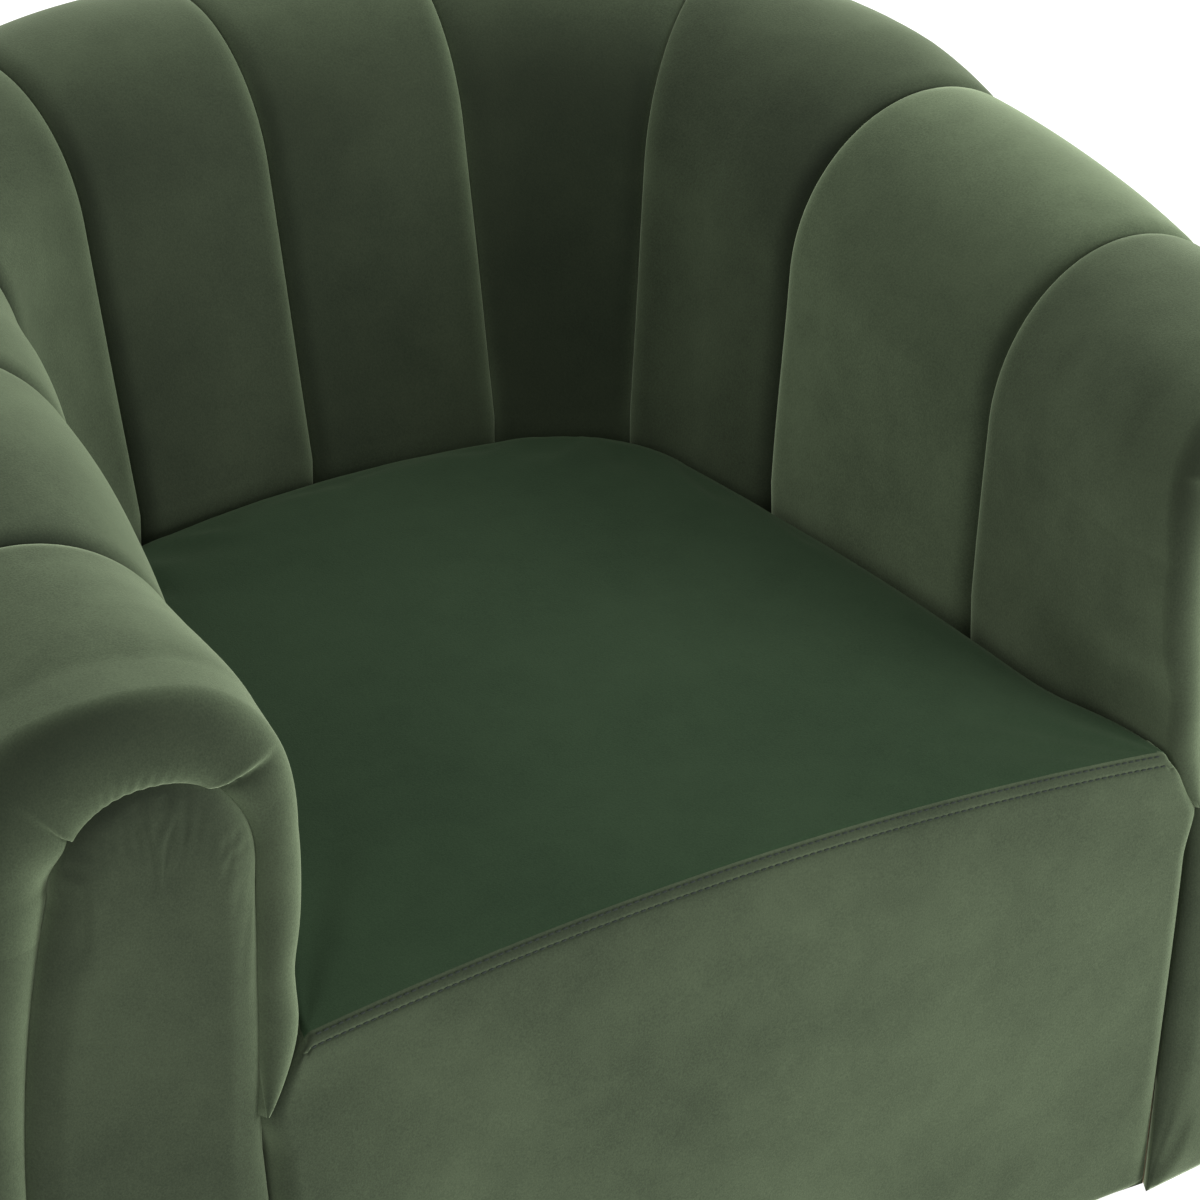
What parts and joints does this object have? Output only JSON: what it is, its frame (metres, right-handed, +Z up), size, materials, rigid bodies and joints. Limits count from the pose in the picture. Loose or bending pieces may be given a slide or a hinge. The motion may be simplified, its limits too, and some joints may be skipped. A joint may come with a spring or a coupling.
{
  "type": "swivel barrel chair",
  "caption": "Low barrel-back swivel armchair: vertical padded channels roll over a curved rim round a tight crowned seat with arched arm fronts, on a round pedestal base.",
  "frame": {"origin": "on the floor, on the swivel's axis, which is at the middle of the chair's plan", "axes": "+Z up along the swivel's axis, +X toward the sitter's left arm (right in a front view), -Y toward the chair's front"},
  "size_m": [0.9118, 0.7152, 0.6958],
  "materials": {
    "velvet": "dark green velvet with a soft nap over foam",
    "foam": "soft foam",
    "frame_wood": "raw plywood and pine",
    "webbing": "woven elastic webbing",
    "cover_cloth": "thin black non-woven cloth",
    "felt": "black felt",
    "black_steel": "black powder coat, satin",
    "zinc_steel": "zinc plated",
    "nylon": "natural nylon"
  },
  "bodies": {
    "base": {"floor_pad": "felt", "base_disc": "black_steel", "column": "black_steel", "column_bolts": "zinc_steel", "lower_plate": "black_steel", "lower_plate_bolts": "zinc_steel", "spindle_bush": "nylon"},
    "bearing": {"ball_cage": "nylon", "bearing_balls": "zinc_steel"},
    "seat": {"channel_right_1": "velvet", "channel_left_1": "velvet", "channel_right_2": "velvet", "channel_left_2": "velvet", "channel_right_3": "velvet", "channel_left_3": "velvet", "channel_right_4": "velvet", "channel_left_4": "velvet", "channel_right_5": "velvet", "channel_left_5": "velvet", "rim_foam_left": "foam", "rim_foam_back": "foam", "rim_foam_right": "foam", "rim_rail_left": "frame_wood", "rim_rail_back": "frame_wood", "rim_rail_right": "frame_wood", "barrel_panel_left": "frame_wood", "barrel_panel_back": "frame_wood", "barrel_panel_right": "frame_wood", "bottom_rail_left": "frame_wood", "bottom_rail_back": "frame_wood", "bottom_rail_right": "frame_wood", "outside_panel_left": "velvet", "outside_panel_back": "velvet", "outside_panel_right": "velvet", "wall_posts": "frame_wood", "tie_blocks": "frame_wood", "arm_board_left": "frame_wood", "arm_board_right": "frame_wood", "arm_panel_left": "velvet", "arm_panel_right": "velvet", "seat_pad": "velvet", "seat_border": "velvet", "webbing_long": "webbing", "webbing_cross": "webbing", "front_board": "frame_wood", "back_board": "frame_wood", "side_board_left": "frame_wood", "side_board_right": "frame_wood", "mounting_board": "frame_wood", "dust_cover": "cover_cloth", "upper_plate": "black_steel", "spindle": "zinc_steel", "spindle_clip": "zinc_steel", "swivel_bolts": "zinc_steel", "tee_nuts": "zinc_steel"}
  },
  "joints": [
    {"name": "seat_swivel", "type": "hinge", "parent": "base", "child": "seat", "pos_m": [0, 0, 0.129], "axis": [0, 0, 1], "continuous": true},
    {"name": "cage_orbit", "type": "hinge", "parent": "base", "child": "bearing", "pos_m": [0, 0, 0.129], "axis": [0, 0, 1], "continuous": true}
  ],
  "couplings": [
    {"joint": "cage_orbit", "follows": "seat_swivel", "ratio": 0.5}
  ]
}
